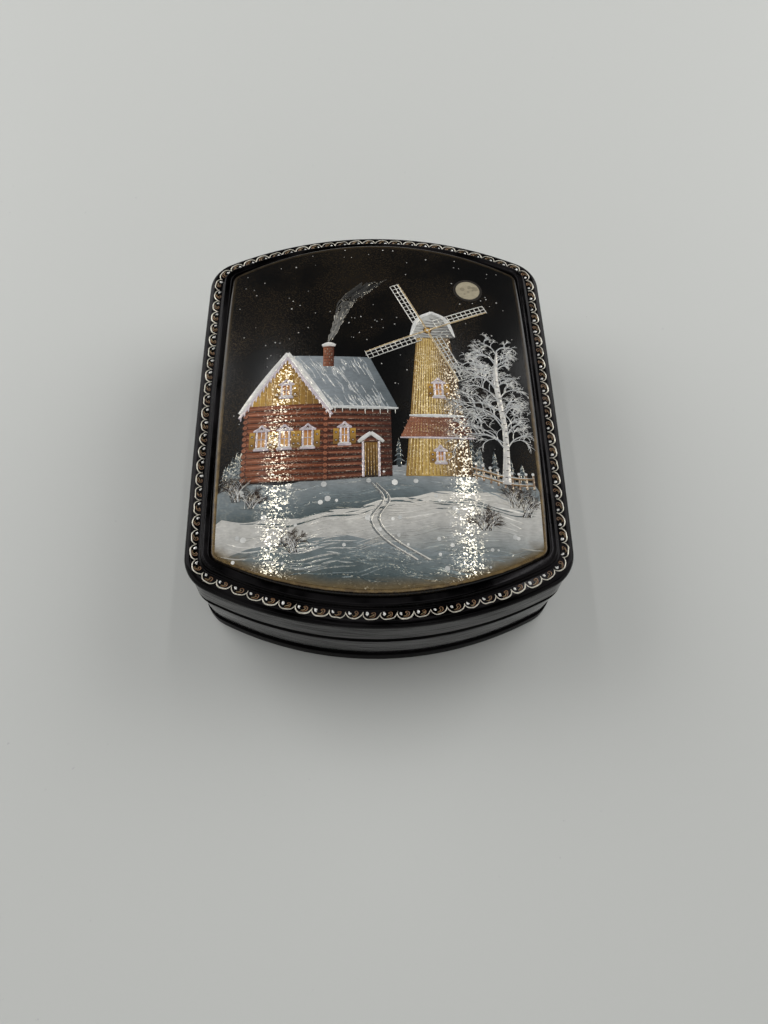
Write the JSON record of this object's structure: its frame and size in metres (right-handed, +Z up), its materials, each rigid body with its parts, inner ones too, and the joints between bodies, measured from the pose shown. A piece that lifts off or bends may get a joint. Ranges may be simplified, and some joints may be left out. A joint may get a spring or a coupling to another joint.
{
  "type": "lacquer box",
  "caption": "Bow-ended lacquered box: a crowned picture panel in a moulded, stepped rim forms the hinged lid, over a two-part leaning wall, an inner collar and a low plinth.",
  "frame": {"origin": "on the surface the box stands on, under the middle of its bounding box", "axes": "+X to the right seen from the front, +Y from the front to the hinge at the back, +Z up"},
  "size_m": [0.101, 0.1286, 0.0384],
  "materials": {
    "black_lacquer": "gloss",
    "red_lacquer": "gloss",
    "picture_lacquer": "gloss",
    "hinge_brass": "satin",
    "nail_brass": "satin"
  },
  "bodies": {
    "base": {"base_bottom": "black_lacquer", "base_wall": "black_lacquer", "base_collar": "red_lacquer", "hinge_base_leaf": "hinge_brass", "hinge_pin": "hinge_brass", "hinge_base_nails": "nail_brass"},
    "lid": {"lid_wall": "black_lacquer", "lid_rim": "black_lacquer", "lid_panel": "picture_lacquer", "hinge_lid_leaf": "hinge_brass", "hinge_lid_nails": "nail_brass"}
  },
  "joints": [
    {"name": "lid_hinge", "type": "hinge", "parent": "base", "child": "lid", "pos_m": [0, 0.063, 0.01723], "axis": [-1, 0, 0], "range_deg": [0, 100]}
  ]
}
